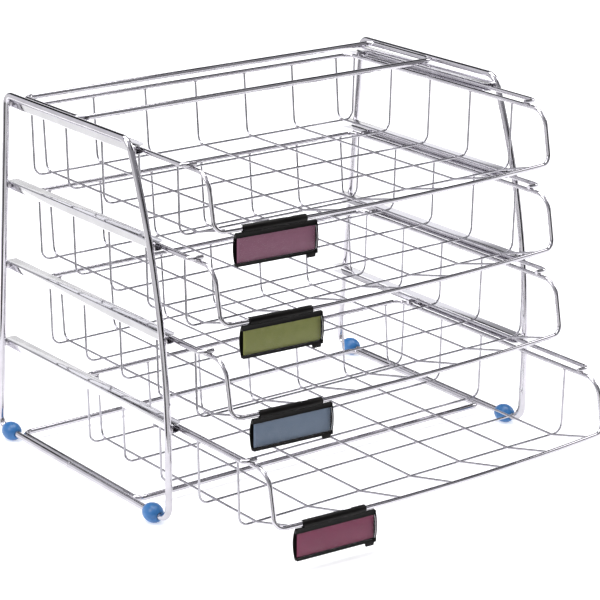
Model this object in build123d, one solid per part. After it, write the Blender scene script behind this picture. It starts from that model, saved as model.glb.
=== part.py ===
from build123d import *
from math import atan, cos, degrees, radians, sin, sqrt, tan
import os

# Four-tier wire letter tray.  Millimetres, +X to the right, +Y to the back, +Z up.
# Depths in the named sizes are counted forward from the rear top corner of the side frames.
# The origin is on the desk, midway between the side frames and midway along the whole depth
# with the trays pulled out as tray_pulled_out says: save() moves the whole back to it.

# ---- bent rods and wires ----
frame_rod = 6.0
loop_rod = 5.0
rim_wire = 4.0
mesh_wire = 2.0
weld = 0.25

# ---- side frames ----
frame_half_width = 197.0
top_front_depth = 192.3
bottom_front_depth = 245.0
bottom_rear_out = 29.0
upright_bend_height = 70.0
front_corner_radius = 14.0
rear_corner_radius = 9.0

# ---- feet ----
foot_radius = 8.5
foot_length = 22.0
foot_flat = 0.5
foot_bore_gap = 0.1
front_foot_inset = 24.0
rear_foot_inset = 19.0

# ---- loops that tie the side frames together ----
top_loop_rear = 20.5
top_loop_front = 110.0
bottom_loop_rear = 1.5
bottom_loop_front = 190.0
loop_corner_radius = 8.0

# ---- runners ----
tier_count = 4
tier_pitch = 75.4
lowest_floor_gap = 16.65
top_rail_gap = 8.9
runner_height = 7.5
runner_depth = 11.5
runner_sheet = 0.8
runner_nose_radius = 8.0
runner_bend_radius = 0.6
runner_tail = 2.0
slide_clearance = 0.3
slide_side_play = 3.95

# ---- trays ----
rim_side_gap = 8.5
rim_top_depth = 275.0
rim_leg_reach = 9.0
rim_bar_rise = 15.0
rim_bar_bow = 9.5
rim_rear_radius = 10.0
rim_front_radius = 17.0
rim_bar_radius = 9.0
floor_drop = 61.0
side_taper = 1.5
rear_taper = 5.0
cross_count = 5
cross_first = 8.4
cross_last_gap = 3.8
cross_corner_radius = 9.0
long_outer_inset = 16.0
long_outer_gap = 52.8
long_count = 7
long_rear_radius = 8.0
long_ramp_radius = 12.0
ramp_run = 47.0
slide_rear = 18.0
slide_front_inset = 21.4
slide_bend_radius = 5.0
slide_stub = 3.5
tray_pulled_out = (3.0, 11.6, 25.9, 84.7)

# ---- label holders ----
label_place = -124.0
clip_length = 60.0
clip_wall = 1.0
clip_gap = 0.35
clip_mouth_angle = 50.0
clip_notch_width = 8.0
plate_shift = 2.0
plate_length = 77.0
plate_top = 3.0
plate_height = 28.0
plate_sheet = 1.2
plate_bulge = 3.4
top_rail_band = 4.2
bottom_rail_band = 2.8
rail_front = 1.6
card_sheet = 0.5
card_length = 74.0
window_sheet = 0.8
window_bulge = 2.4
window_depth = 0.6
tab_width = 9.0
tab_inset = 1.0
tab_drop = 3.2
tab_sheet = 2.0
stop_width = 2.0
stop_depth = 3.2
stop_height = 3.6
stop_front = 2.8

bottom_rail_height = foot_radius - foot_flat
rim_below_slide = rim_wire - weld
lowest_slide_height = bottom_rail_height + lowest_floor_gap + floor_drop + rim_below_slide
top_slide_height = lowest_slide_height + (tier_count - 1) * tier_pitch
top_rail_height = top_slide_height + top_rail_gap
runner_above_slide = runner_height / 2 - runner_sheet - rim_wire / 2 - slide_clearance
runner_back = frame_half_width - frame_rod / 2 + weld
slide_half = runner_back - runner_sheet - slide_side_play - rim_wire / 2
tray_half_width = slide_half - rim_side_gap
rim_bar_depth = rim_top_depth + rim_leg_reach
rim_bar_drop = floor_drop - rim_bar_rise
ramp_start = rim_bar_depth - ramp_run
slide_front = rim_top_depth - slide_front_inset
cross_pitch = (ramp_start - cross_last_gap - cross_first) / (cross_count - 1)
long_outer = tray_half_width - long_outer_inset
long_pitch = 2 * (long_outer - long_outer_gap) / (long_count - 3)
front_reach = tray_pulled_out[-1] + rim_bar_depth + rim_bar_bow + rim_wire / 2
rear_reach = bottom_rear_out + frame_rod / 2
origin_depth = (front_reach - rear_reach) / 2


def tangent_path(points, radii, closed=False, bows=None):
    """Runs between points joined by tangent arcs; a run in bows is itself a gentle arc."""
    bows = bows or {}
    count = len(points)
    runs = count if closed else count - 1
    heads = []
    tails = []
    for run in range(runs):
        chord = points[(run + 1) % count] - points[run]
        along = chord.normalized()
        if run in bows:
            turn = 2 * atan(bows[run].length / (chord.length / 2))
            side = bows[run].normalized()
            heads.append(along * cos(turn) + side * sin(turn))
            tails.append(along * cos(turn) - side * sin(turn))
        else:
            heads.append(along)
            tails.append(along)
    starts = list(points)
    stops = list(points)
    corners = {}
    bent = range(count) if closed else range(1, count - 1)
    for corner in bent:
        arriving = tails[corner - 1]
        leaving = heads[corner]
        turn = radians(arriving.get_angle(leaving))
        back = radii[corner] * tan(turn / 2)
        inwards = (leaving - arriving).normalized()
        rise = radii[corner] / cos(turn / 2) - radii[corner]
        stops[corner] = points[corner] - arriving * back
        starts[corner] = points[corner] + leaving * back
        middle = points[corner] + inwards * rise
        corners[corner] = Edge.make_three_point_arc(stops[corner], middle, starts[corner])
    edges = []
    for run in range(runs):
        begin = starts[run]
        end = stops[(run + 1) % count]
        if run in bows:
            half = (end - begin).length / 2
            whole = (points[(run + 1) % count] - points[run]).length / 2
            rise = bows[run] * (half / whole)
            edges.append(Edge.make_three_point_arc(begin, (begin + end) / 2 + rise, end))
        else:
            edges.append(Edge.make_line(begin, end))
        if (run + 1) % count in corners:
            edges.append(corners[(run + 1) % count])
    return Wire(edges)


def rod_along(path, diameter):
    """A round rod swept along a path."""
    section = Plane(origin=path @ 0, z_dir=path % 0) * Circle(diameter / 2)
    return sweep(section, path=path)


def upright_lean(height):
    """How far the front upright has leaned back from its foot at a height."""
    rise = max(0.0, height - upright_bend_height)
    full_rise = top_rail_height - upright_bend_height
    full_lean = bottom_front_depth - top_front_depth
    bend = (full_rise**2 + full_lean**2) / (2 * full_lean)
    return bend - sqrt(bend**2 - rise**2)


def front_upright_y(height):
    return -(bottom_front_depth - upright_lean(height))


def rear_upright_y(height):
    share = (top_rail_height - height) / (top_rail_height - bottom_rail_height)
    return bottom_rear_out * share


def side_frame(x):
    """One closed side loop: rails top and bottom, straight rear upright, bowed front upright."""
    middle_height = (top_rail_height + upright_bend_height) / 2
    rear_top = Vector(x, 0, top_rail_height)
    front_top = Vector(x, -top_front_depth, top_rail_height)
    front_middle = Vector(x, front_upright_y(middle_height), middle_height)
    front_bend = Vector(x, -bottom_front_depth, upright_bend_height)
    front_bottom = Vector(x, -bottom_front_depth, bottom_rail_height)
    rear_bottom = Vector(x, bottom_rear_out, bottom_rail_height)
    outline = Wire(
        [
            Edge.make_line(rear_bottom, rear_top),
            Edge.make_line(rear_top, front_top),
            Edge.make_three_point_arc(front_top, front_middle, front_bend),
            Edge.make_line(front_bend, front_bottom),
            Edge.make_line(front_bottom, rear_bottom),
        ]
    )
    for place, radius in (
        (rear_top, rear_corner_radius),
        (front_top, front_corner_radius),
        (front_bottom, front_corner_radius),
        (rear_bottom, rear_corner_radius),
    ):
        corner = outline.vertices().sort_by_distance(place)[0]
        outline = outline.fillet_2d(radius, [corner])
    return rod_along(outline, frame_rod)


def tie_loop(rear_y, front_y, height):
    """A flat rectangular loop lying against the inside of both side frames."""
    half = frame_half_width - frame_rod / 2 - loop_rod / 2 + weld
    corners = [
        Vector(-half, rear_y, height),
        Vector(half, rear_y, height),
        Vector(half, front_y, height),
        Vector(-half, front_y, height),
    ]
    return rod_along(tangent_path(corners, [loop_corner_radius] * 4, closed=True), loop_rod)


def foot(x, y):
    """An egg-shaped foot threaded on the bottom rail, with a small flat to stand on."""
    with BuildPart() as body:
        with BuildSketch(Plane.XY):
            Ellipse(foot_radius, foot_length / 2)
            Rectangle(foot_radius, foot_length, align=(Align.MAX, Align.CENTER), mode=Mode.SUBTRACT)
        revolve(axis=Axis.Y, revolution_arc=360)
        with BuildSketch(Plane.XZ):
            Circle(frame_rod / 2 + foot_bore_gap)
        extrude(amount=foot_length, both=True, mode=Mode.SUBTRACT)
        with Locations((0, 0, -bottom_rail_height)):
            Box(
                3 * foot_radius,
                2 * foot_length,
                foot_radius,
                align=(Align.CENTER, Align.CENTER, Align.MAX),
                mode=Mode.SUBTRACT,
            )
    return Pos(x, y, bottom_rail_height) * body.part


def runner(side, slide_height):
    """A sheet channel open towards the trays, welded across the two uprights of one side."""
    middle = slide_height + runner_above_slide
    front = front_upright_y(middle) - runner_tail
    rear = rear_upright_y(middle) + runner_tail
    inner_x = runner_back - runner_depth
    length = rear - front
    with BuildPart() as channel:
        with BuildSketch(Plane.XY):
            with Locations(((runner_back + inner_x) / 2, (front + rear) / 2)):
                Rectangle(runner_depth, length)
            nose = vertices().sort_by_distance(Vector(inner_x, front, 0))[0]
            fillet(nose, runner_nose_radius)
        extrude(amount=runner_height / 2, both=True)
        outer = edges().filter_by(Axis.Y).group_by(Axis.X)[-1]
        fillet(outer, runner_bend_radius)
        hollow_depth = runner_depth - runner_sheet
        with Locations((inner_x - runner_depth, (front + rear) / 2, 0)):
            Box(
                hollow_depth + runner_depth,
                length + 2 * runner_nose_radius,
                runner_height - 2 * runner_sheet,
                align=(Align.MIN, Align.CENTER, Align.CENTER),
                mode=Mode.SUBTRACT,
            )
    placed = Pos(0, 0, middle) * channel.part
    return placed if side > 0 else mirror(placed, about=Plane.YZ)


def rim_corners(rear_y, rim_z):
    """The rim's corner points, going round from the rear left."""
    half = tray_half_width
    bar_y = rear_y - rim_bar_depth
    bar_z = rim_z - rim_bar_drop
    return [
        Vector(-half, rear_y, rim_z),
        Vector(half, rear_y, rim_z),
        Vector(half, rear_y - rim_top_depth, rim_z),
        Vector(half, bar_y, bar_z),
        Vector(-half, bar_y, bar_z),
        Vector(-half, rear_y - rim_top_depth, rim_z),
    ]


def rim(rear_y, rim_z):
    """One closed wire: rear and side rails, sloping front legs, low bowed front bar."""
    radii = [
        rim_rear_radius,
        rim_rear_radius,
        rim_front_radius,
        rim_bar_radius,
        rim_bar_radius,
        rim_front_radius,
    ]
    bows = {3: Vector(0, -rim_bar_bow, 0)}
    path = tangent_path(rim_corners(rear_y, rim_z), radii, closed=True, bows=bows)
    return rod_along(path, rim_wire)


def bar_bend_radius():
    return (tray_half_width**2 + rim_bar_bow**2) / (2 * rim_bar_bow)


def bar_y_at(x):
    """The front bar's middle line, from the tray's rear rail, at a place across the tray."""
    bend = bar_bend_radius()
    return -(rim_bar_depth + rim_bar_bow) + bend - sqrt(bend**2 - x**2)


def cross_wires(rear_y, rim_z):
    """U-shaped wires hung from the side rails, which carry the floor."""
    top_z = rim_z - rim_wire / 2 + weld
    floor_z = rim_z - floor_drop
    low_half = tray_half_width - side_taper
    wires = []
    for number in range(cross_count):
        y = rear_y - cross_first - number * cross_pitch
        corners = [
            Vector(-tray_half_width, y, top_z),
            Vector(-low_half, y, floor_z),
            Vector(low_half, y, floor_z),
            Vector(tray_half_width, y, top_z),
        ]
        wires.append(rod_along(tangent_path(corners, [cross_corner_radius] * 4), mesh_wire))
    return Compound(wires)


def long_places():
    """Where the fore-and-aft wires lie across the tray."""
    inner = (long_count - 2 - 1) / 2
    places = [-long_outer]
    places += [(number - inner) * long_pitch for number in range(long_count - 2)]
    places += [long_outer]
    return places


def long_wires(rear_y, rim_z):
    """Fore-and-aft wires: down from the rear rail, along the floor, up to the front bar."""
    top_z = rim_z - rim_wire / 2 + weld
    floor_z = rim_z - floor_drop + mesh_wire - weld
    bar_z = rim_z - rim_bar_drop
    wires = []
    for x in long_places():
        bar = Vector(x, rear_y + bar_y_at(x), bar_z)
        ramp_foot = Vector(x, rear_y - ramp_start, floor_z)
        rise = (bar - ramp_foot).normalized()
        corners = [
            Vector(x, rear_y, top_z),
            Vector(x, rear_y - rear_taper, floor_z),
            ramp_foot,
            bar - rise * (rim_wire / 2 - weld),
        ]
        radii = [0, long_rear_radius, long_ramp_radius, 0]
        wires.append(rod_along(tangent_path(corners, radii), mesh_wire))
    return Compound(wires)


def slide_wire(side, rear_y, slide_z):
    """The wire that runs in a channel, both ends turned in and welded on top of the rim."""
    inner = side * (tray_half_width - slide_stub)
    outer = side * slide_half
    corners = [
        Vector(inner, rear_y - slide_rear, slide_z),
        Vector(outer, rear_y - slide_rear, slide_z),
        Vector(outer, rear_y - slide_front, slide_z),
        Vector(inner, rear_y - slide_front, slide_z),
    ]
    return rod_along(tangent_path(corners, [slide_bend_radius] * 4), rim_wire)


def bent_strip(length, low_z, high_z, edge_y, bulge, sheet):
    """A sheet strip along X whose section is an arc; a positive bulge goes to the back."""
    mid_z = (low_z + high_z) / 2
    way = 1 if bulge > 0 else -1
    with BuildPart() as strip:
        with BuildSketch(Plane.YZ):
            with BuildLine():
                ThreePointArc((edge_y, low_z), (edge_y + bulge, mid_z), (edge_y, high_z))
                Line((edge_y, high_z), (edge_y - way * sheet, high_z))
                ThreePointArc(
                    (edge_y - way * sheet, high_z),
                    (edge_y + bulge - way * sheet, mid_z),
                    (edge_y - way * sheet, low_z),
                )
                Line((edge_y - way * sheet, low_z), (edge_y, low_z))
            make_face()
        extrude(amount=length / 2, both=True)
    return strip.part


def clip_tube():
    """The split tube that snaps on the front bar, notched where a floor wire meets the bar."""
    bore = rim_wire / 2 + clip_gap
    outer = bore + clip_wall
    notch_x = -(long_count - 3) / 2 * long_pitch - label_place
    reach = 2 * outer
    mouth = [
        (0, 0),
        (reach, reach * tan(radians(clip_mouth_angle))),
        (reach, -reach * tan(radians(clip_mouth_angle))),
    ]
    with BuildPart() as tube:
        with BuildSketch(Plane.YZ):
            Circle(outer)
            Circle(bore, mode=Mode.SUBTRACT)
            Polygon(*mouth, align=None, mode=Mode.SUBTRACT)
        extrude(amount=clip_length / 2, both=True)
        with Locations((notch_x, 0, 0)):
            Box(
                clip_notch_width,
                outer + weld,
                3 * outer,
                align=(Align.CENTER, Align.MIN, Align.CENTER),
                mode=Mode.SUBTRACT,
            )
    return tube.part


def label_heights():
    """Top and bottom of the plate, and of the card between its two bands."""
    high = -plate_top
    low = high - plate_height
    return high, low, high - top_rail_band, low + bottom_rail_band


def holder():
    """Clip tube, bulged back shell, two bands that hold card and window, and a pull tab."""
    high, low, card_high, card_low = label_heights()
    shell = bent_strip(plate_length, low, high, plate_sheet, plate_bulge, plate_sheet)
    band_depth = rail_front + plate_sheet
    top_band = Box(plate_length, band_depth, high - card_high, align=(Align.CENTER, Align.MIN, Align.MAX))
    low_band = Box(plate_length, band_depth, card_low - low, align=(Align.CENTER, Align.MIN, Align.MIN))
    tab_x = plate_length / 2 - tab_width / 2 - tab_inset
    tab_root = bottom_rail_band / 2
    tab = Box(tab_width, tab_sheet, tab_drop + tab_root, align=(Align.CENTER, Align.MIN, Align.MAX))
    stop = Box(stop_width, stop_depth, stop_height, align=(Align.MAX, Align.MIN, Align.MIN))
    plate = shell + Pos(0, -rail_front, high) * top_band + Pos(0, -rail_front, low) * low_band
    plate = plate + Pos(tab_x, -rail_front, low + tab_root) * tab
    plate = plate + Pos(plate_length / 2, -stop_front, low) * stop
    return clip_tube() + Pos(plate_shift, 0, 0) * plate


def card():
    """The flat card, its edges held in the bands."""
    high, low, card_high, card_low = label_heights()
    height = card_high - card_low + 2 * weld
    return Pos(plate_shift, 0, (card_high + card_low) / 2) * Box(card_length, card_sheet, height)


def window():
    """The clear window in front of the card, its edges held in the bands."""
    high, low, card_high, card_low = label_heights()
    edge_y = window_depth - rail_front - window_sheet
    strip = bent_strip(
        card_length, card_low - weld, card_high + weld, edge_y, -window_bulge, window_sheet
    )
    return Pos(plate_shift, 0, 0) * strip


def save(shape, name):
    """Writes one piece, moved so that the origin is below the middle of the whole."""
    export_step(Pos(0, origin_depth, 0) * shape, "parts/" + name + ".step")


os.makedirs("parts", exist_ok=True)

for side_name, side in (("left", -1), ("right", 1)):
    save(side_frame(side * frame_half_width), "side_frame_" + side_name)
    save(foot(side * frame_half_width, -bottom_front_depth + front_foot_inset), "foot_front_" + side_name)
    save(foot(side * frame_half_width, bottom_rear_out - rear_foot_inset), "foot_rear_" + side_name)

save(tie_loop(-top_loop_rear, -top_loop_front, top_rail_height), "top_loop")
save(tie_loop(-bottom_loop_rear, -bottom_loop_front, bottom_rail_height), "bottom_loop")

for tier in range(1, tier_count + 1):
    slide_z = top_slide_height - (tier - 1) * tier_pitch
    rim_z = slide_z - rim_below_slide
    rear_y = -tray_pulled_out[tier - 1]
    for side_name, side in (("left", -1), ("right", 1)):
        save(runner(side, slide_z), "runner_" + side_name + "_" + str(tier))
        save(slide_wire(side, rear_y, slide_z), "tray_" + str(tier) + "_slide_" + side_name)
    save(rim(rear_y, rim_z), "tray_" + str(tier) + "_rim")
    save(cross_wires(rear_y, rim_z), "tray_" + str(tier) + "_cross_wires")
    save(long_wires(rear_y, rim_z), "tray_" + str(tier) + "_long_wires")
    turn = -degrees(atan(-label_place / bar_bend_radius()))
    seat = Pos(label_place, rear_y + bar_y_at(label_place), rim_z - rim_bar_drop) * Rot(0, 0, turn)
    save(seat * holder(), "label_" + str(tier) + "_holder")
    save(seat * card(), "label_" + str(tier) + "_card")
    save(seat * window(), "label_" + str(tier) + "_window")
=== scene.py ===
import bpy
import bmesh
from math import atan, atan2, cos, degrees, pi, radians, sin, sqrt
from mathutils import Matrix, Vector


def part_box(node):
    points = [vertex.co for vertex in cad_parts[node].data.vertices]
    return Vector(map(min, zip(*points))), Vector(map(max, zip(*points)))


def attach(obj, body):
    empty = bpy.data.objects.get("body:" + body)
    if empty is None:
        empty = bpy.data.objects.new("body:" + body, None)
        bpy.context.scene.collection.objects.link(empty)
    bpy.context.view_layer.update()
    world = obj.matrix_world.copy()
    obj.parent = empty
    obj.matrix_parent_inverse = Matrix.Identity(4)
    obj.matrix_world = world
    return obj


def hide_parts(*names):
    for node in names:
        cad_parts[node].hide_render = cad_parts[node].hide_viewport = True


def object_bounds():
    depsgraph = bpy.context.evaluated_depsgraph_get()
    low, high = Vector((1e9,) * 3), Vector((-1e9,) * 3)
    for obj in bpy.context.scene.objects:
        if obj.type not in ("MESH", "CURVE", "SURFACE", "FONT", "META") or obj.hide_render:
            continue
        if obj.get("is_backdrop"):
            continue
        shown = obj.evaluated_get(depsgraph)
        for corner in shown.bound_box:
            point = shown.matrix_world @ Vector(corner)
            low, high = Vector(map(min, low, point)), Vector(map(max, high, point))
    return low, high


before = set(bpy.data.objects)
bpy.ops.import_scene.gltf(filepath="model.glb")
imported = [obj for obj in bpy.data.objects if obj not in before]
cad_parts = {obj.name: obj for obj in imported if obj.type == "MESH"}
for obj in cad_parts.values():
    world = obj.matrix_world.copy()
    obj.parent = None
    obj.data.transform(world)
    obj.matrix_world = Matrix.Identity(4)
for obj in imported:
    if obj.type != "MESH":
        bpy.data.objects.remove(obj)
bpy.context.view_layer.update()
MM = 0.001
tiers = (1, 2, 3, 4)
sides = (("left", -1), ("right", 1))


# ---------------------------------------------------------------- materials

def new_material(name):
    """A material with its shader, and the node tree to build on."""
    material = bpy.data.materials.new(name)
    material.use_nodes = True
    tree = material.node_tree
    shader = tree.nodes["Principled BSDF"]
    return material, tree, shader


def object_pattern(tree, stretch=(1, 1, 1)):
    """Object coordinates, stretched along the axes."""
    where = tree.nodes.new("ShaderNodeTexCoord")
    mapping = tree.nodes.new("ShaderNodeMapping")
    mapping.inputs["Scale"].default_value = stretch
    tree.links.new(where.outputs["Object"], mapping.inputs["Vector"])
    return mapping.outputs["Vector"]


def noise(tree, pattern, per_metre, detail=4.0, roughness=0.55):
    """Noise with about so many blotches to the metre."""
    node = tree.nodes.new("ShaderNodeTexNoise")
    node.inputs["Scale"].default_value = per_metre
    node.inputs["Detail"].default_value = detail
    node.inputs["Roughness"].default_value = roughness
    tree.links.new(pattern, node.inputs["Vector"])
    return node.outputs["Fac"]


def spread(tree, source, low, high, start=0.3, stop=0.7):
    """Turns a 0..1 pattern into a value between low and high."""
    node = tree.nodes.new("ShaderNodeMapRange")
    node.inputs["From Min"].default_value = start
    node.inputs["From Max"].default_value = stop
    node.inputs["To Min"].default_value = low
    node.inputs["To Max"].default_value = high
    tree.links.new(source, node.inputs["Value"])
    return node.outputs["Result"]


def blend_colours(tree, source, first, second, start=0.3, stop=0.7):
    """Runs from the first colour to the second as the pattern rises."""
    node = tree.nodes.new("ShaderNodeValToRGB")
    node.color_ramp.elements[0].position = start
    node.color_ramp.elements[0].color = (*first, 1)
    node.color_ramp.elements[1].position = stop
    node.color_ramp.elements[1].color = (*second, 1)
    tree.links.new(source, node.inputs["Fac"])
    return node.outputs["Color"]


def bump(tree, source, height, strength=1.0, under=None):
    """Raises the surface by a pattern, height in metres."""
    node = tree.nodes.new("ShaderNodeBump")
    node.inputs["Strength"].default_value = strength
    node.inputs["Distance"].default_value = height
    tree.links.new(source, node.inputs["Height"])
    if under is not None:
        tree.links.new(under, node.inputs["Normal"])
    return node.outputs["Normal"]


def chrome_plate(name, stretch, ripple, dull, bright):
    """Bright chrome: faint smudges, fine scratches that run one way, and a slight ripple."""
    material, tree, shader = new_material(name)
    even = object_pattern(tree)
    drawn = object_pattern(tree, stretch)
    smudges = noise(tree, even, 35, detail=5)
    scratches = noise(tree, drawn, 900, detail=3)
    mottle = noise(tree, even, 260, detail=2)
    colour = blend_colours(tree, smudges, dull, bright)
    tree.links.new(colour, shader.inputs["Base Color"])
    tree.links.new(spread(tree, smudges, 0.045, 0.13), shader.inputs["Roughness"])
    wavy = bump(tree, mottle, ripple)
    tree.links.new(bump(tree, scratches, 0.000004, 0.6, wavy), shader.inputs["Normal"])
    shader.inputs["Metallic"].default_value = 1.0
    return material


def moulded_plastic(name, dark, light, rough_low, rough_high, grain, coat, gloss):
    """Moulded plastic: slow colour drift, fine spark-eroded grain, a soft skin of gloss."""
    material, tree, shader = new_material(name)
    even = object_pattern(tree)
    drift = noise(tree, even, 60, detail=3)
    grain_pattern = noise(tree, even, 2600, detail=2)
    handling = noise(tree, even, 180, detail=5)
    tree.links.new(blend_colours(tree, drift, dark, light), shader.inputs["Base Color"])
    tree.links.new(spread(tree, handling, rough_low, rough_high), shader.inputs["Roughness"])
    tree.links.new(bump(tree, grain_pattern, grain, 0.7), shader.inputs["Normal"])
    shader.inputs["Coat Weight"].default_value = coat
    shader.inputs["Coat Roughness"].default_value = 0.25
    shader.inputs["IOR"].default_value = 1.5
    shader.inputs["Specular IOR Level"].default_value = gloss
    return material


def card_stock(name, dark, light):
    """Coloured card: paper fibre, mottled dye and a matt face."""
    material, tree, shader = new_material(name)
    even = object_pattern(tree)
    fibre = noise(tree, object_pattern(tree, (1, 1, 4)), 1500, detail=4)
    dye = noise(tree, even, 160, detail=6, roughness=0.7)
    tree.links.new(blend_colours(tree, dye, dark, light), shader.inputs["Base Color"])
    tree.links.new(spread(tree, fibre, 0.72, 0.9), shader.inputs["Roughness"])
    tree.links.new(bump(tree, fibre, 0.00003, 0.5), shader.inputs["Normal"])
    shader.inputs["Sheen Weight"].default_value = 0.08
    return material


def clear_sheet(name, body, tone):
    """Clear rigid sheet with faint rub marks; body is how much of it shows."""
    material, tree, shader = new_material(name)
    rubs = noise(tree, object_pattern(tree, (1, 1, 3)), 220, detail=6)
    tree.links.new(spread(tree, rubs, 0.06, 0.2), shader.inputs["Roughness"])
    tree.links.new(spread(tree, rubs, body * 0.8, body * 1.2), shader.inputs["Alpha"])
    shader.inputs["Base Color"].default_value = (tone, tone, tone * 1.03, 1)
    shader.inputs["IOR"].default_value = 1.49
    return material


def pale_floor(name):
    """Plain pale matt ground."""
    material, tree, shader = new_material(name)
    tone = noise(tree, object_pattern(tree), 3, detail=2)
    tree.links.new(
        blend_colours(tree, tone, (0.86, 0.86, 0.87), (0.88, 0.88, 0.89)), shader.inputs["Base Color"]
    )
    shader.inputs["Roughness"].default_value = 0.75
    shader.inputs["Specular IOR Level"].default_value = 0.2
    shader.inputs["Emission Color"].default_value = (1, 1, 1, 1)
    shader.inputs["Emission Strength"].default_value = 0.5
    return material


rod_chrome = chrome_plate(
    "rod_chrome", (1, 1, 1), 0.000012, (0.47, 0.455, 0.49), (0.60, 0.585, 0.62)
)
# Darker copy of the rod chrome for the floor wires: the lower base colour is painted shade on the same
# plating.
shaded_fine_chrome = chrome_plate(
    "shaded_fine_chrome", (1, 1, 1), 0.00001, (0.34, 0.33, 0.36), (0.46, 0.45, 0.485)
)
# Lighter copy of the same chrome for the runners: the higher base colour is painted light on the same
# plating.
lit_sheet_chrome = chrome_plate(
    "lit_sheet_chrome", (1, 0.02, 1), 0.00002, (0.74, 0.73, 0.76), (0.84, 0.83, 0.86)
)
weld_chrome = chrome_plate(
    "weld_chrome", (1, 1, 1), 0.00005, (0.45, 0.43, 0.46), (0.62, 0.60, 0.63)
)
foot_blue = moulded_plastic(
    "foot_blue", (0.018, 0.12, 0.33), (0.028, 0.165, 0.42), 0.28, 0.42, 0.000012, 0.2, 0.4
)
clip_black = moulded_plastic(
    "clip_black", (0.0035, 0.003, 0.003), (0.008, 0.007, 0.0065), 0.32, 0.45, 0.00001, 0.0, 0.12
)
window_clear = clear_sheet("window_clear", 0.06, 0.2)
# The window's end: a pale, nearly opaque finish, partly a frosted cut edge and partly a painted
# highlight.
window_rim_glint = clear_sheet("window_rim_glint", 0.8, 0.86)
card_colours = {
    1: ((0.29, 0.11, 0.18), (0.34, 0.135, 0.215)),
    2: ((0.23, 0.25, 0.06), (0.30, 0.32, 0.09)),
    3: ((0.16, 0.22, 0.31), (0.21, 0.27, 0.37)),
    4: ((0.20, 0.034, 0.083), (0.26, 0.048, 0.105)),
}
cards = {n: card_stock("card_%d" % n, *pair) for n, pair in card_colours.items()}


def set_finish(piece, material):
    """Gives a piece one material."""
    piece.data.materials.clear()
    piece.data.materials.append(material)


def finish_for(node):
    """The material of a piece of the frame, by its name."""
    if node.startswith("foot"):
        return foot_blue
    if node.startswith("runner"):
        return lit_sheet_chrome
    if node.endswith("holder"):
        return clip_black
    if node.endswith("window"):
        return window_clear
    if node.endswith("card"):
        return cards[int(node.split("_")[1])]
    if node.endswith("cross_wires") or node.endswith("long_wires"):
        return shaded_fine_chrome
    return rod_chrome


for node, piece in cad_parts.items():
    set_finish(piece, finish_for(node))


# ---------------------------------------------------------------- modelling helpers

def start_piece(name):
    """Renames the primitive just added and opens it for editing."""
    piece = bpy.context.object
    piece.name = name
    piece.data.name = name
    bpy.ops.object.transform_apply(location=True, rotation=True, scale=True)
    bpy.ops.object.mode_set(mode="EDIT")
    return piece


def pick(piece, kind, test):
    """Selects the verts, edges or faces of the open piece that pass a test, and nothing else."""
    bpy.ops.mesh.select_all(action="DESELECT")
    bpy.ops.mesh.select_mode(type=kind)
    open_mesh = bmesh.from_edit_mesh(piece.data)
    groups = {"VERT": open_mesh.verts, "EDGE": open_mesh.edges, "FACE": open_mesh.faces}
    for item in groups[kind]:
        item.select_set(test(item))
    open_mesh.select_flush_mode()
    bmesh.update_edit_mesh(piece.data)


def middle(item):
    """The middle of an edge or face."""
    corners = item.verts
    return sum((corner.co for corner in corners), Vector()) / len(corners)


def runs_along(edge, axis):
    """Whether an edge lies along an axis."""
    way = (edge.verts[1].co - edge.verts[0].co).normalized()
    return abs(way[axis]) > 0.95


def set_modifier(piece, kind, **values):
    """Adds a modifier and applies it."""
    modifier = piece.modifiers.new(kind.lower(), kind)
    for key, value in values.items():
        setattr(modifier, key, value)
    bpy.context.view_layer.objects.active = piece
    bpy.ops.object.modifier_apply(modifier=modifier.name)


def round_edges(piece, width, segments, angle):
    """Rounds the edges that turn by more than an angle, width in millimetres."""
    set_modifier(
        piece,
        "BEVEL",
        width=width * MM,
        segments=segments,
        limit_method="ANGLE",
        angle_limit=radians(angle),
    )


def close_piece(angle=35):
    """Puts the open piece back in object mode: normals outwards, smooth but for sharp edges."""
    bpy.ops.mesh.select_all(action="SELECT")
    bpy.ops.mesh.normals_make_consistent(inside=False)
    bpy.ops.object.mode_set(mode="OBJECT")
    bpy.ops.object.shade_smooth_by_angle(angle=radians(angle))


def clear_selection():
    """Object mode with nothing selected."""
    if bpy.context.object and bpy.context.object.mode == "EDIT":
        bpy.ops.object.mode_set(mode="OBJECT")
    bpy.ops.object.select_all(action="DESELECT")


def join_pieces(pieces, name):
    """Makes one object of several."""
    clear_selection()
    for piece in pieces:
        piece.select_set(True)
    bpy.context.view_layer.objects.active = pieces[0]
    bpy.ops.object.join()
    joined = bpy.context.object
    joined.name = name
    joined.data.name = name
    return joined


def copy_piece(piece, name, place):
    """A copy with its own mesh, moved by a matrix that goes into the mesh."""
    copy = piece.copy()
    copy.data = piece.data.copy()
    copy.name = name
    copy.data.name = name
    bpy.context.scene.collection.objects.link(copy)
    copy.data.transform(place)
    return copy


# ---------------------------------------------------------------- label holders

# Sizes as on the bench, in millimetres, counted from the middle of the bar that the clip holds.
clip_length = 60.0
clip_outer = 3.35
clip_wall = 1.0
clip_mouth = 50.0
notch_width = 8.0
plate_shift = 2.0
plate_length = 77.0
plate_top = -3.0
plate_low = -31.0
plate_back = 1.2
plate_bulge = 3.4
plate_wall = 1.2
band_front = -1.6
top_band = 4.2
low_band = 2.8
tray_half = 179.0
bar_bow = 9.5
label_place = -124.0
cheek_wall = 1.0
cheek_middle = 0.2
cheek_reach = 4.2
window_length = 74.0
window_edge = -1.4
window_bulge = 2.35
window_wall = 0.8
window_tuck = 0.25
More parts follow.
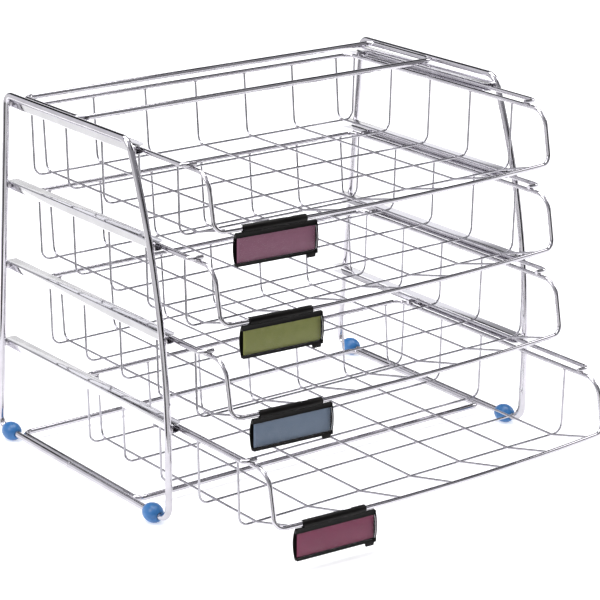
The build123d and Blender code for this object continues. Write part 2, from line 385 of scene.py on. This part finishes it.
# Width of the window's end that gets the painted highlight finish.
glint_end = 0.35
shell_inset = 0.2
band_corner = 1.4
lip_width = 0.55
lip_depth = 0.22
cheek_gap = 0.1
tab_size = (9, 2, 4.6)
tab_inset = 5.5
tab_back = 1.0
tab_drop = 0.9
stop_size = (2, 3.2, 3.6)
stop_inset = 1.0
stop_middle = -1.2
stop_rise = 1.8
bar_bend = (tray_half**2 + bar_bow**2) / (2 * bar_bow)
wire_place = -110.2


def clip_tube():
    """Split tube, notched where a floor wire meets the bar."""
    clear_selection()
    bpy.ops.mesh.primitive_cylinder_add(
        vertices=48,
        radius=clip_outer * MM,
        depth=clip_length * MM,
        end_fill_type="NOTHING",
        rotation=(0, pi / 2, 0),
    )
    tube = start_piece("clip_tube")
    notch = wire_place - label_place
    for edge in (notch - notch_width / 2, notch + notch_width / 2):
        bpy.ops.mesh.select_all(action="SELECT")
        bpy.ops.mesh.bisect(plane_co=(edge * MM, 0, 0), plane_no=(1, 0, 0))

    def open_here(face):
        place = middle(face)
        if place.y <= 0:
            return False
        in_mouth = degrees(atan2(abs(place.z), place.y)) < clip_mouth
        in_notch = abs(place.x - notch * MM) < notch_width / 2 * MM
        return in_mouth or in_notch

    pick(tube, "FACE", open_here)
    bpy.ops.mesh.delete(type="FACE")
    bpy.ops.object.mode_set(mode="OBJECT")
    set_modifier(tube, "SOLIDIFY", thickness=clip_wall * MM, offset=-1)
    round_edges(tube, 0.18, 2, 50)
    bpy.ops.object.mode_set(mode="EDIT")
    close_piece()
    return tube


def curved_sheet(name, length, top, low, edge, bulge, wall, steps):
    """A sheet across the holder, bulged to the back or the front: a strip's edge spun about a line."""
    half_height = (top - low) / 2
    bend = (half_height**2 + bulge**2) / (2 * abs(bulge))
    way = 1 if bulge > 0 else -1
    sweep = 4 * atan(abs(bulge) / half_height)
    centre = Vector((0, edge + bulge - way * bend, (top + low) / 2)) * MM
    clear_selection()
    bpy.ops.mesh.primitive_plane_add(
        size=1, location=(plate_shift * MM, edge * MM, (top + 0.5) * MM), rotation=(pi / 2, 0, 0)
    )
    bpy.context.object.scale = (length * MM, MM, 1)
    sheet = start_piece(name)
    pick(sheet, "VERT", lambda vert: vert.co.z > top * MM + 0.0001)
    bpy.ops.mesh.delete(type="VERT")
    bpy.ops.mesh.select_all(action="SELECT")
    bpy.ops.mesh.spin(steps=steps, angle=way * sweep, center=centre, axis=(1, 0, 0))
    bpy.ops.mesh.select_all(action="SELECT")
    bpy.ops.mesh.remove_doubles(threshold=0.000001)
    bpy.ops.mesh.normals_make_consistent(inside=False)
    bpy.ops.object.mode_set(mode="OBJECT")
    set_modifier(sheet, "SOLIDIFY", thickness=wall * MM, offset=0)
    bpy.ops.object.mode_set(mode="EDIT")
    close_piece()
    return sheet


def back_shell():
    """The curved back of the holder, its edges rounded off."""
    shell = curved_sheet(
        "back_shell",
        plate_length,
        plate_top - shell_inset,
        plate_low + shell_inset,
        plate_back - plate_wall / 2,
        plate_bulge,
        plate_wall,
        20,
    )
    round_edges(shell, 0.25, 3, 50)
    return shell


def clear_window():
    """The clear front: a thin sheet bulged forwards, its right cut end frosted and given a pale,
    nearly opaque painted highlight.
    """
    sheet = curved_sheet(
        "window_pattern",
        window_length,
        plate_top - top_band + window_tuck,
        plate_low + low_band - window_tuck,
        window_edge,
        -window_bulge,
        window_wall,
        24,
    )
    round_edges(sheet, 0.15, 2, 50)
    set_finish(sheet, window_clear)
    sheet.data.materials.append(window_rim_glint)
    half = window_length / 2 * MM
    for face in sheet.data.polygons:
        face.material_index = int(face.center.x - plate_shift * MM > half - glint_end * MM)
    return sheet


def band(name, low_z, high_z, corner):
    """A band across the front: rounded corners, a shallow lip where the card goes in."""
    depth = plate_back - band_front
    clear_selection()
    bpy.ops.mesh.primitive_cube_add(
        size=1,
        location=(plate_shift * MM, (plate_back + band_front) / 2 * MM, (low_z + high_z) / 2 * MM),
        scale=(plate_length * MM, depth * MM, (high_z - low_z) * MM),
    )
    piece = start_piece(name)
    pick(piece, "FACE", lambda face: face.normal.y < -0.9)
    bpy.ops.mesh.inset(thickness=lip_width * MM, depth=-lip_depth * MM)
    outer_z = high_z if corner > 0 else low_z
    pick(
        piece,
        "EDGE",
        lambda edge: runs_along(edge, 1) and abs(middle(edge).z - outer_z * MM) < 0.01 * MM,
    )
    bpy.ops.mesh.bevel(offset=band_corner * MM, segments=5, affect="EDGES")
    bpy.ops.object.mode_set(mode="OBJECT")
    round_edges(piece, 0.2, 2, 40)
    bpy.ops.object.mode_set(mode="EDIT")
    close_piece()
    return piece


def small_block(name, centre, size, taper, round_off):
    """A small rounded block, narrower underneath by a taper."""
    clear_selection()
    bpy.ops.mesh.primitive_cube_add(size=1, location=Vector(centre) * MM, scale=Vector(size) * MM)
    piece = start_piece(name)
    pick(piece, "FACE", lambda face: face.normal.z < -0.9)
    bpy.ops.transform.resize(value=(taper, taper, 1), center_override=Vector(centre) * MM)
    bpy.ops.object.mode_set(mode="OBJECT")
    round_edges(piece, round_off, 3, 40)
    bpy.ops.object.mode_set(mode="EDIT")
    close_piece()
    return piece


def end_cheek():
    """The thin cheek that closes the right end: a disc squeezed to a lens."""
    half_height = (plate_top - plate_low) / 2
    clear_selection()
    bpy.ops.mesh.primitive_cylinder_add(
        vertices=48,
        radius=half_height * MM,
        depth=cheek_wall * MM,
        location=(
            (plate_shift + window_length / 2 + cheek_wall / 2 + cheek_gap) * MM,
            cheek_middle * MM,
            (plate_top + plate_low) / 2 * MM,
        ),
        rotation=(0, pi / 2, 0),
    )
    cheek = start_piece("end_cheek")
    bpy.ops.mesh.select_all(action="SELECT")
    bpy.ops.transform.resize(
        value=(1, cheek_reach / half_height, 1),
        center_override=(0, cheek_middle * MM, (plate_top + plate_low) / 2 * MM),
    )
    bpy.ops.object.mode_set(mode="OBJECT")
    round_edges(cheek, 0.2, 2, 50)
    bpy.ops.object.mode_set(mode="EDIT")
    close_piece()
    return cheek


def label_holder():
    """The whole holder, at the middle of its own bar."""
    right_end = plate_shift + plate_length / 2
    tab_middle = (right_end - tab_inset, band_front + tab_back, plate_low - tab_drop)
    card_stop_middle = (right_end - stop_inset, stop_middle, plate_low + stop_rise)
    pieces = [
        clip_tube(),
        back_shell(),
        band("top_band", plate_top - top_band, plate_top, 1),
        band("low_band", plate_low, plate_low + low_band, -1),
        small_block("pull_tab", tab_middle, tab_size, 0.86, 0.35),
        small_block("card_stop", card_stop_middle, stop_size, 0.95, 0.4),
        end_cheek(),
    ]
    return join_pieces(pieces, "holder_pattern")


def label_seat(n):
    """Where label n sits on its bar, from the middle of its card."""
    low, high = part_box("label_%d_card" % n)
    turn = Matrix.Rotation(-atan(-label_place / bar_bend), 4, "Z")
    card_middle = Vector((plate_shift, 0, (plate_top - top_band + plate_low + low_band) / 2)) * MM
    return Matrix.Translation((low + high) / 2 - turn @ card_middle) @ turn


holder = label_holder()
set_finish(holder, clip_black)
window = clear_window()
for n in tiers:
    piece = copy_piece(holder, "label_%d_clip_holder" % n, label_seat(n))
    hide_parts("label_%d_holder" % n)
    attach(piece, "label_%d" % n)
    piece = copy_piece(window, "label_%d_clear_front" % n, label_seat(n))
    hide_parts("label_%d_window" % n)
    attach(piece, "label_%d" % n)
bpy.data.objects.remove(holder)
bpy.data.objects.remove(window)


# ---------------------------------------------------------------- feet

foot_radius = 8.49
foot_half_length = 11.0
foot_bore = 3.1
rail_height = 8.0
bore_mouth = 0.97


def foot_pattern():
    """An egg along Y with the rail's bore through it and a flat underneath."""
    clear_selection()
    bpy.ops.mesh.primitive_uv_sphere_add(
        segments=64,
        ring_count=40,
        radius=foot_radius * MM,
        rotation=(pi / 2, 0, 0),
    )
    foot = start_piece("foot_pattern")
    bpy.ops.mesh.select_all(action="SELECT")
    bpy.ops.transform.resize(value=(1, foot_half_length / foot_radius, 1), center_override=(0, 0, 0))
    pick(foot, "VERT", lambda vert: sqrt(vert.co.x**2 + vert.co.z**2) < foot_bore * MM)
    bpy.ops.mesh.delete(type="VERT")
    pick(foot, "EDGE", lambda edge: edge.is_boundary)
    bpy.ops.mesh.extrude_region_move()
    open_mesh = bmesh.from_edit_mesh(foot.data)
    for vert in open_mesh.verts:
        if vert.select:
            out = sqrt(vert.co.x**2 + vert.co.z**2)
            vert.co.x *= foot_bore * MM / out
            vert.co.z *= foot_bore * MM / out
            vert.co.y *= bore_mouth
    bmesh.update_edit_mesh(foot.data)
    bpy.ops.mesh.bridge_edge_loops()
    bpy.ops.mesh.select_all(action="SELECT")
    bpy.ops.mesh.bisect(
        plane_co=(0, 0, -rail_height * MM),
        plane_no=(0, 0, -1),
        use_fill=True,
        clear_outer=True,
        threshold=0.000001,
    )
    close_piece(40)
    return foot


foot = foot_pattern()
set_finish(foot, foot_blue)
for end in ("front", "rear"):
    for side in ("left", "right"):
        node = "foot_%s_%s" % (end, side)
        low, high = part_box(node)
        place = Vector(((low.x + high.x) / 2, (low.y + high.y) / 2, rail_height * MM))
        piece = copy_piece(foot, node + "_egg", Matrix.Translation(place))
        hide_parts(node)
        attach(piece, "frame")
bpy.data.objects.remove(foot)


# ---------------------------------------------------------------- runners

runner_sheet = 0.8
runner_bend = 1.5
runner_nose = 7.0


def runner_channel(node, side):
    """A folded channel open towards the trays, its front inner corners rounded off."""
    low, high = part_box(node)
    clear_selection()
    bpy.ops.mesh.primitive_cube_add(size=1, location=(low + high) / 2, scale=high - low)
    channel = start_piece(node + "_folded")
    inner_x = low.x if side > 0 else high.x
    pick(channel, "FACE", lambda face: abs(face.normal.y) > 0.9 or face.normal.x * side < -0.9)
    bpy.ops.mesh.delete(type="FACE")
    nose = (inner_x, low.y)
    pick(
        channel,
        "VERT",
        lambda vert: abs(vert.co.x - nose[0]) < 0.0001 and abs(vert.co.y - nose[1]) < 0.0001,
    )
    bpy.ops.mesh.bevel(offset=runner_nose * MM, segments=6, affect="VERTICES")
    pick(
        channel,
        "EDGE",
        lambda edge: runs_along(edge, 1) and abs(middle(edge).x - inner_x) > 0.9 * (high.x - low.x),
    )
    bpy.ops.mesh.bevel(offset=runner_bend * MM, segments=5, affect="EDGES")
    bpy.ops.mesh.select_all(action="SELECT")
    bpy.ops.mesh.normals_make_consistent(inside=False)
    bpy.ops.object.mode_set(mode="OBJECT")
    turn_out = Vector((side, 0, 0))
    webs = [face for face in channel.data.polygons if abs(face.normal.x) > 0.9]
    if webs[0].normal.dot(turn_out) < 0:
        channel.data.flip_normals()
    set_modifier(channel, "SOLIDIFY", thickness=runner_sheet * MM, offset=-1)
    round_edges(channel, 0.12, 2, 60)
    bpy.ops.object.mode_set(mode="EDIT")
    close_piece()
    set_finish(channel, lit_sheet_chrome)
    return channel


for side_name, side in sides:
    for tier in tiers:
        node = "runner_%s_%d" % (side_name, tier)
        piece = runner_channel(node, side)
        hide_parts(node)
        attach(piece, "frame")


# ---------------------------------------------------------------- welds

rim_half = 2.0
fine_half = 1.0
press_in = 0.25
rod_half = 3.0
floor_below_rim = 61.0
bar_below_rim = 46.0
cross_wires = 5
long_wire_places = (-163.0, -110.2, -55.1, 0.0, 55.1, 110.2, 163.0)
upright_inset = 2
upright_edge = 1.9
loop_weld_inset = 17
loop_weld_lift = 1.75
bar_weld_back = 1.75
bar_weld_drop = 0.6
seam_from_foot = 110
seam_length = 2.2
seam_stand = 0.02
seam_wall = 0.3
seam_ridge = 0.7
seam_swell = 1.06

# Half sizes of the beads, along X, Y and Z.
side_bead = (1.55, 1.75, 0.75)
floor_bead = (1.35, 1.35, 0.8)
rear_bead = (1.75, 1.5, 0.75)
bar_bead = (1.5, 0.9, 1.3)
slide_bead = (2.3, 2.3, 0.85)
upright_bead = (0.9, 0.8, 2.9)
loop_bead = (0.9, 5.5, 0.8)


def bead_pattern():
    """A weld bead of radius 1, a little slumped, to be sized for each place."""
    clear_selection()
    bpy.ops.mesh.primitive_uv_sphere_add(segments=14, ring_count=9, radius=1)
    bead = start_piece("bead_pattern")
    pick(bead, "VERT", lambda vert: vert.co.z < -0.3)
    bpy.ops.transform.resize(value=(1.12, 1.12, 0.9), center_override=(0, 0, 0))
    pick(bead, "VERT", lambda vert: vert.co.z > 0.5)
    bpy.ops.transform.resize(value=(0.92, 0.92, 0.94), center_override=(0.06, 0, 0))
    close_piece(60)
    set_finish(bead, weld_chrome)
    return bead


def run_of_welds(name, places):
    """One piece of all the beads given as place and half sizes, in millimetres."""
    beads = []
    for place, half_sizes in places:
        size = Matrix.Diagonal((*(Vector(half_sizes) * MM), 1))
        seat = Matrix.Translation(Vector(place) * MM) @ size
        beads.append(copy_piece(bead, "bead", seat))
    return join_pieces(beads, name)


def box_mm(node):
    """The corners of a node's box, in millimetres."""
    low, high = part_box(node)
    return low / MM, high / MM


def tray_weld_places():
    """Every weld on the top tray."""
    places = []
    rim_low, rim_high = box_mm("tray_1_rim")
    rear = rim_high.y - rim_half
    rim_z = rim_high.z - rim_half
    floor_z = rim_z - floor_below_rim + fine_half - press_in / 2
    low, high = box_mm("tray_1_cross_wires")
    first = high.y - fine_half
    last = low.y + fine_half
    step = (first - last) / (cross_wires - 1)
    for number in range(cross_wires):
        y = first - number * step
        for x in (-tray_half, tray_half):
            places.append(((x, y, rim_z - rim_half), side_bead))
        for x in long_wire_places:
            places.append(((x, y, floor_z), floor_bead))
    front = rim_low.y + rim_half
    for x in long_wire_places:
        places.append(((x, rear, rim_z - rim_half), rear_bead))
        bar = front + bar_bend - sqrt(bar_bend**2 - x**2)
        bar_z = rim_z - bar_below_rim - bar_weld_drop
        places.append(((x, bar + bar_weld_back, bar_z), bar_bead))
    low, high = box_mm("tray_1_slide_left")
    for x in (-tray_half, tray_half):
        for y in (low.y + rim_half, high.y - rim_half):
            places.append(((x, y, rim_z + rim_half - press_in / 2), slide_bead))
    return places


def frame_weld_places():
    """The runners on the uprights, and the loops along the rails."""
    places = []
    for side_name, side in sides:
        for tier in tiers:
            low, high = box_mm("runner_%s_%d" % (side_name, tier))
            back = side * max(abs(low.x), abs(high.x))
            middle_z = (low.z + high.z) / 2
            for upright in (low.y + upright_inset, high.y - upright_inset):
                for edge in (-upright_edge, upright_edge):
                    places.append(((back, upright + edge, middle_z), upright_bead))
        for loop in ("top_loop", "bottom_loop"):
            low, high = box_mm(loop)
            seam_x = side * (max(abs(low.x), abs(high.x)) - press_in)
            middle_z = (low.z + high.z) / 2
            for y in (low.y + loop_weld_inset, high.y - loop_weld_inset):
                for lift in (-loop_weld_lift, loop_weld_lift):
                    places.append(((seam_x, y, middle_z + lift), loop_bead))
    return places


def seam_ring():
    """The ground-off butt weld round a rod."""
    clear_selection()
    bpy.ops.mesh.primitive_cylinder_add(
        vertices=32,
        radius=(rod_half + seam_stand) * MM,
        depth=seam_length * MM,
        end_fill_type="NOTHING",
        rotation=(pi / 2, 0, 0),
    )
    ring = start_piece("seam_pattern")
    bpy.ops.mesh.select_all(action="SELECT")
    bpy.ops.mesh.subdivide(number_cuts=3, quadcorner="STRAIGHT_CUT")
    bpy.ops.mesh.select_all(action="SELECT")
    bpy.ops.mesh.remove_doubles(threshold=0.000001)
    pick(ring, "VERT", lambda vert: abs(vert.co.y) < seam_ridge * MM)
    bpy.ops.transform.resize(value=(seam_swell, 1, seam_swell), center_override=(0, 0, 0))
    bpy.ops.mesh.select_all(action="SELECT")
    bpy.ops.mesh.normals_make_consistent(inside=False)
    bpy.ops.object.mode_set(mode="OBJECT")
    set_modifier(ring, "SOLIDIFY", thickness=seam_wall * MM, offset=-1)
    bpy.ops.object.mode_set(mode="EDIT")
    close_piece(60)
    set_finish(ring, weld_chrome)
    return ring


bead = bead_pattern()
top_tray_welds = run_of_welds("tray_1_welds", tray_weld_places())
frame_welds = run_of_welds("frame_welds", frame_weld_places())
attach(frame_welds, "frame")
top_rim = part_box("tray_1_rim")[0]
for n in (2, 3, 4):
    step_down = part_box("tray_%d_rim" % n)[0] - top_rim
    piece = copy_piece(top_tray_welds, "tray_%d_welds" % n, Matrix.Translation(step_down))
    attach(piece, "tray_%d" % n)
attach(top_tray_welds, "tray_1")
bpy.data.objects.remove(bead)

ring = seam_ring()
for side in ("left", "right"):
    low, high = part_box("side_frame_" + side)
    seam_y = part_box("foot_rear_" + side)[1].y - seam_from_foot * MM
    place = Vector(((low.x + high.x) / 2, seam_y, rail_height * MM))
    piece = copy_piece(ring, "side_frame_%s_seam" % side, Matrix.Translation(place))
    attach(piece, "frame")
bpy.data.objects.remove(ring)


# ---------------------------------------------------------------- floor, lights, camera

yaw = radians(37.26)
pitch = radians(-18.40)
roll = radians(0.42)
table_edge = 0.36
table_side = 0.42
table_half = 2.2
camera_place = (-1.2262, -1.6015, 0.8158)
camera_lens = 144.4
bpy.ops.object.select_all(action="DESELECT")
bpy.ops.mesh.primitive_plane_add(size=2 * table_half)
floor = bpy.context.object
floor.name = "floor"
floor.data.transform(Matrix.Translation((0, table_half - table_edge, 0)))
floor.data.transform(Matrix.Rotation(-yaw, 4, "Z"))
bpy.ops.object.mode_set(mode="EDIT")
bpy.ops.mesh.select_all(action="SELECT")
bpy.ops.mesh.bisect(plane_co=(-table_side, 0, 0), plane_no=(-1, 0, 0), clear_outer=True)
bpy.ops.object.mode_set(mode="OBJECT")
floor.data.materials.append(pale_floor("floor_pale"))
floor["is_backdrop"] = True


def soft_light(name, place, aim, width, height, power):
    """A large rectangular light pointed at a spot."""
    data = bpy.data.lights.new(name, "AREA")
    data.shape = "RECTANGLE"
    data.size = width
    data.size_y = height
    data.energy = power
    light = bpy.data.objects.new(name, data)
    bpy.context.scene.collection.objects.link(light)
    light.location = place
    light.rotation_mode = "QUATERNION"
    light.rotation_quaternion = (Vector(aim) - Vector(place)).to_track_quat("-Z", "Y")


soft_light("overhead", (0.1, 0.5, 2.6), aim=(0, 0, 0), width=2.4, height=1.4, power=62)
soft_light("left_box", (-2.2, 0.5, 1.7), aim=(0, 0, 0.15), width=1.0, height=1.6, power=24)
soft_light("right_box", (2.4, -0.4, 1.5), aim=(0, 0, 0.15), width=0.8, height=1.4, power=16)

world = bpy.data.worlds.new("studio")
bpy.context.scene.world = world
world.use_nodes = True
studio = world.node_tree
background = studio.nodes["Background"]
look_way = studio.nodes.new("ShaderNodeTexCoord").outputs["Generated"]

# Places of the colour sockets on a mix node.
mix_from = 6
mix_to = 7
mix_result = 2

# Greys of the studio by the height of the look, above the bright ground.
wall_tones = ((0.22, 0.42), (0.5, 0.36), (0.68, 0.55), (1.0, 0.85))

# White and black boards round the object, which its rods reflect as bright and dark lines:
# the way to each board's centre, where it is full and where it ends in degrees, and its tone.
boards = (
    ((-0.58, 0.755, 0.30), 16, 20, 1.0),
    ((-0.42, 0.755, 0.50), 12, 16, 1.0),
    ((0.00, 0.755, 0.655), 14, 17, 0.01),
    ((0.28, 0.755, 0.59), 13, 16, 0.01),
    ((0.21, -0.68, 0.70), 13, 17, 0.02),
    ((0.5745, 0.316, 0.755), 16, 21, 0.05),
    ((-0.05, -0.99, 0.10), 17, 20, 0.01),
    ((0.32, -0.945, 0.08), 15, 18, 0.01),
    ((0.97, -0.12, 0.12), 12, 16, 0.03),
    ((0.5745, -0.7552, 0.3156), 11, 17, 0.25),
    ((0.57, -0.08, 0.815), 13, 17, 0.05),
    ((0.5745, 0.7552, 0.3156), 10, 13, 1.0),
    ((-0.88, -0.25, -0.41), 12, 15, 0.02),
    ((-0.91, 0.17, -0.37), 9, 12, 0.02),
)


def board(centre, inside, outside, tone):
    """A mix to a board's tone: full within so many degrees of its centre, none outside."""
    towards = studio.nodes.new("ShaderNodeVectorMath")
    towards.operation = "DOT_PRODUCT"
    towards.inputs[1].default_value = Vector(centre).normalized()
    studio.links.new(look_way, towards.inputs[0])
    edge = studio.nodes.new("ShaderNodeMapRange")
    edge.inputs["From Min"].default_value = cos(radians(outside))
    edge.inputs["From Max"].default_value = cos(radians(inside))
    studio.links.new(towards.outputs["Value"], edge.inputs["Value"])
    mix = studio.nodes.new("ShaderNodeMix")
    mix.data_type = "RGBA"
    studio.links.new(edge.outputs["Result"], mix.inputs["Factor"])
    mix.inputs[mix_to].default_value = (tone, tone, tone * 1.04, 1)
    return mix


height_of_look = studio.nodes.new("ShaderNodeSeparateXYZ")
studio.links.new(look_way, height_of_look.inputs["Vector"])
tones = studio.nodes.new("ShaderNodeValToRGB")
tones.color_ramp.elements[0].position = 0.0
tones.color_ramp.elements[0].color = (1, 1, 1, 1)
tones.color_ramp.elements[1].position = 0.14
tones.color_ramp.elements[1].color = (0.94, 0.94, 0.96, 1)
for place, grey in wall_tones:
    stop = tones.color_ramp.elements.new(place)
    stop.color = (grey, grey, grey * 1.05, 1)
studio.links.new(height_of_look.outputs["Z"], tones.inputs["Fac"])
shade = tones.outputs["Color"]
for centre, inside, outside, tone in boards:
    mix = board(centre, inside, outside, tone)
    studio.links.new(shade, mix.inputs[mix_from])
    shade = mix.outputs[mix_result]
studio.links.new(shade, background.inputs["Color"])
background.inputs["Strength"].default_value = 1.0

camera_data = bpy.data.cameras.new("camera")
camera = bpy.data.objects.new("camera", camera_data)
bpy.context.scene.collection.objects.link(camera)
bpy.context.scene.camera = camera
camera_data.sensor_width = 36
camera_data.lens = camera_lens
camera_data.clip_start = 0.05
camera_data.clip_end = 60
bpy.context.scene.view_settings.view_transform = "Standard"
forward = Vector((sin(yaw) * cos(pitch), cos(yaw) * cos(pitch), sin(pitch)))
level_right = Vector((cos(yaw), -sin(yaw), 0))
level_up = level_right.cross(forward)
right = level_right * cos(roll) + level_up * sin(roll)
up = level_up * cos(roll) - level_right * sin(roll)
turned = Matrix((right, up, -forward)).transposed()
camera.matrix_world = Matrix.Translation(camera_place) @ turned.to_4x4()

low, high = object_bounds()
